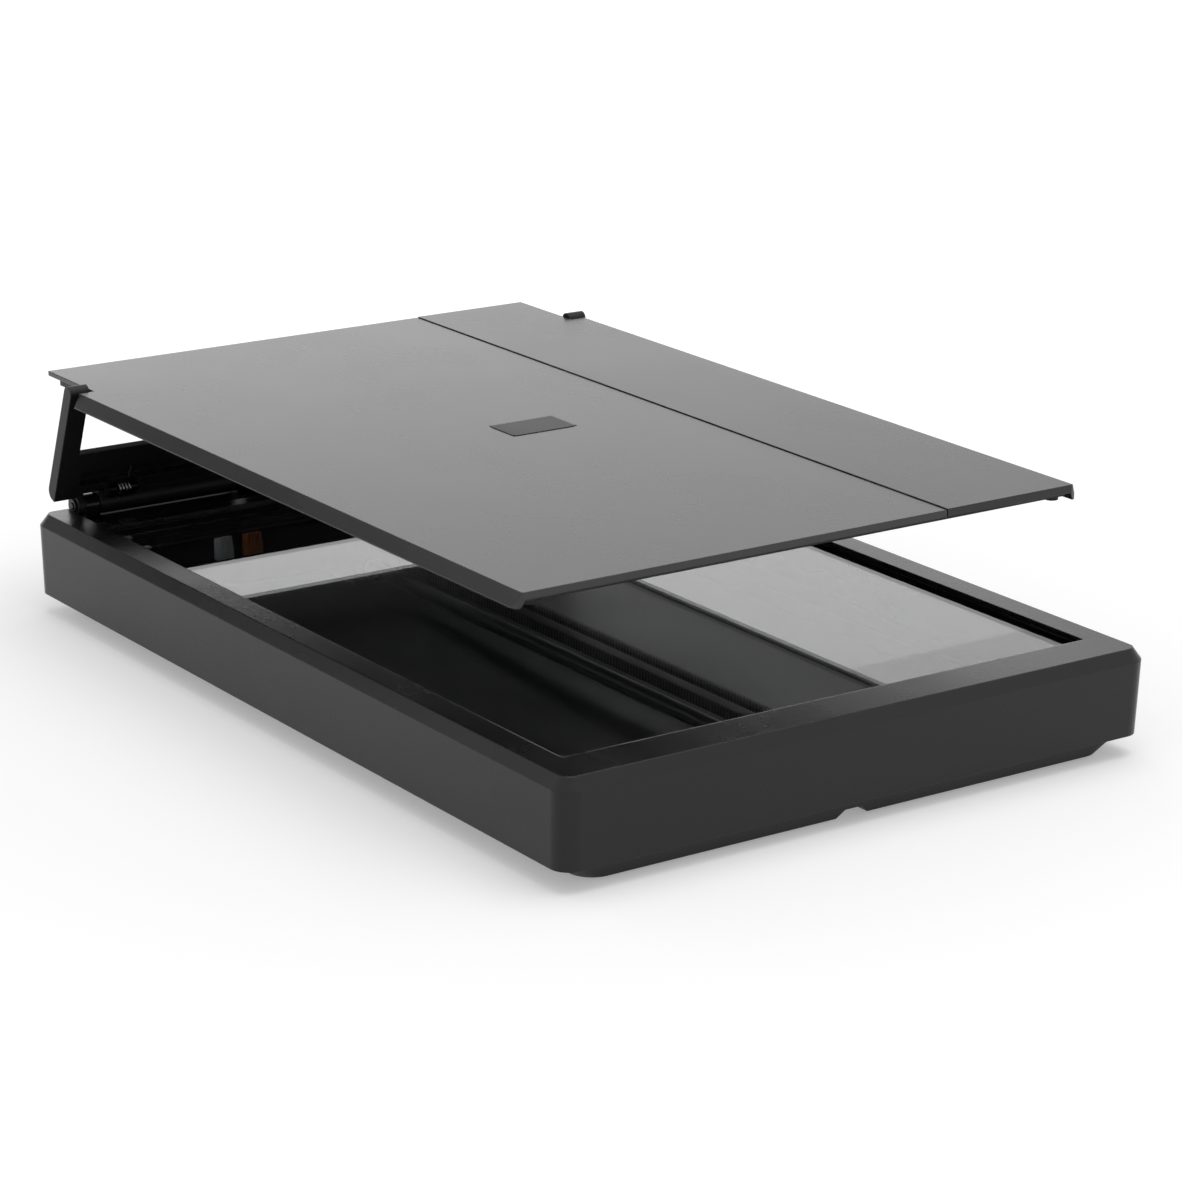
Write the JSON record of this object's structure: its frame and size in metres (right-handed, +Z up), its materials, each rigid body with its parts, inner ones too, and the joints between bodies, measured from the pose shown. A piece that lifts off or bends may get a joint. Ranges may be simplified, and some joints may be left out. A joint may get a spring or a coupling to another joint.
{
  "type": "flatbed document scanner",
  "caption": "Flatbed document scanner with a framed glass bed, a lid that lifts level on a leaning spring hinge flap, and a belt driven contact image sensor inside.",
  "frame": {"origin": "middle of the scanner's outline seen from above, with its lid lifted as modelled, on the surface that its rubber feet stand on", "axes": "+X across the scanner to the user's right, +Y from the user's side to the hinge, +Z up"},
  "size_m": [0.251, 0.3758, 0.0938],
  "materials": {
    "case_plastic": "fine matte grain",
    "belly_plastic": "fine matte grain",
    "flap_plastic": "satin",
    "lid_plastic": "fine grain with a satin sheen",
    "lid_frame_plastic": "matte",
    "platen_glass": "polished",
    "clear_glass": "polished",
    "clear_plastic": "clear",
    "tape": "matte",
    "white_strip": "matte",
    "steel": "ground",
    "screw_steel": "plated",
    "inner_plastic": "moulded",
    "bronze": "sintered",
    "lens_dark": "glossy",
    "circuit_board": "solder mask",
    "white_plastic": "moulded",
    "belt_rubber": "ribbed",
    "motor_can": "drawn",
    "chips": "moulded",
    "socket_shell": "plated",
    "foam": "open cell foam",
    "dark_sheet": "satin film",
    "grey_sheet": "satin film",
    "rubber": "matte",
    "badge": "blank satin plate"
  },
  "bodies": {
    "base": {"upper_housing": "case_plastic", "lower_case": "belly_plastic", "platen_glass": "platen_glass", "glass_tape": "tape", "calibration_strip": "white_strip", "guide_rod": "steel", "rod_clips": "steel", "toothed_belt": "belt_rubber", "stepper_motor": "motor_can", "motor_plate": "steel", "idler_bracket": "steel", "pulley_axles": "steel", "main_board": "circuit_board", "board_chips": "chips", "data_socket": "socket_shell", "socket_tongue": "inner_plastic", "case_screws": "screw_steel", "rubber_feet": "rubber", "small_screws": "screw_steel"},
    "hinge_shaft": {"hinge_shaft": "steel", "retaining_rings": "steel"},
    "flap": {"hinge_flap": "flap_plastic", "lid_pivot_pins": "steel", "spring_pins": "steel", "torsion_springs": "steel"},
    "lid": {"lid_wide_panel": "lid_plastic", "lid_side_panel": "lid_plastic", "lid_inner_frame": "lid_frame_plastic", "pad_foam": "foam", "backing_sheet_wide": "dark_sheet", "backing_sheet_side": "grey_sheet", "lid_bumpers": "rubber", "blank_badge": "badge"},
    "carriage": {"carriage_cradle": "inner_plastic", "rod_bushes": "bronze", "sensor_housing": "inner_plastic", "sensor_window": "clear_glass", "rod_lens_array": "lens_dark", "light_guide": "clear_plastic", "sensor_board": "circuit_board", "glide_pads": "white_plastic", "belt_clamp": "inner_plastic", "lift_springs": "steel"},
    "drive_pulley": {"drive_pulley": "white_plastic"},
    "idler_pulley": {"idler_pulley": "white_plastic"},
    "pinion": {"motor_pinion": "bronze", "motor_shaft": "steel"}
  },
  "joints": [
    {"name": "lid_tilt", "type": "hinge", "parent": "base", "child": "hinge_shaft", "pos_m": [0, 0.17138, 0.041], "axis": [-1, 0, 0], "range_deg": [0, 75]},
    {"name": "flap_lift", "type": "hinge", "parent": "hinge_shaft", "child": "flap", "pos_m": [0, 0.17138, 0.041], "axis": [-1, 0, 0], "range_deg": [-70, 0]},
    {"name": "lid_fold", "type": "hinge", "parent": "flap", "child": "lid", "pos_m": [0, 0.15547, 0.08879], "axis": [-1, 0, 0], "range_deg": [0, 70]},
    {"name": "carriage_slide", "type": "slide", "parent": "base", "child": "carriage", "axis": [0, -1, 0], "range_m": [0, 0.283]},
    {"name": "drive_spin", "type": "hinge", "parent": "base", "child": "drive_pulley", "pos_m": [0.018, 0.15008, 0.0072], "axis": [0, 0, 1], "continuous": true},
    {"name": "idler_spin", "type": "hinge", "parent": "base", "child": "idler_pulley", "pos_m": [0.018, -0.16692, 0.0072], "axis": [0, 0, 1], "continuous": true},
    {"name": "pinion_spin", "type": "hinge", "parent": "base", "child": "pinion", "pos_m": [0.03697, 0.15481, 0.0113], "axis": [0, 0, 1], "continuous": true}
  ],
  "couplings": [
    {"joint": "lid_fold", "follows": "flap_lift", "ratio": -1},
    {"joint": "drive_spin", "follows": "carriage_slide", "rad_per_m": 153.85},
    {"joint": "idler_spin", "follows": "carriage_slide", "rad_per_m": 153.85},
    {"joint": "pinion_spin", "follows": "carriage_slide", "rad_per_m": -564.1}
  ]
}
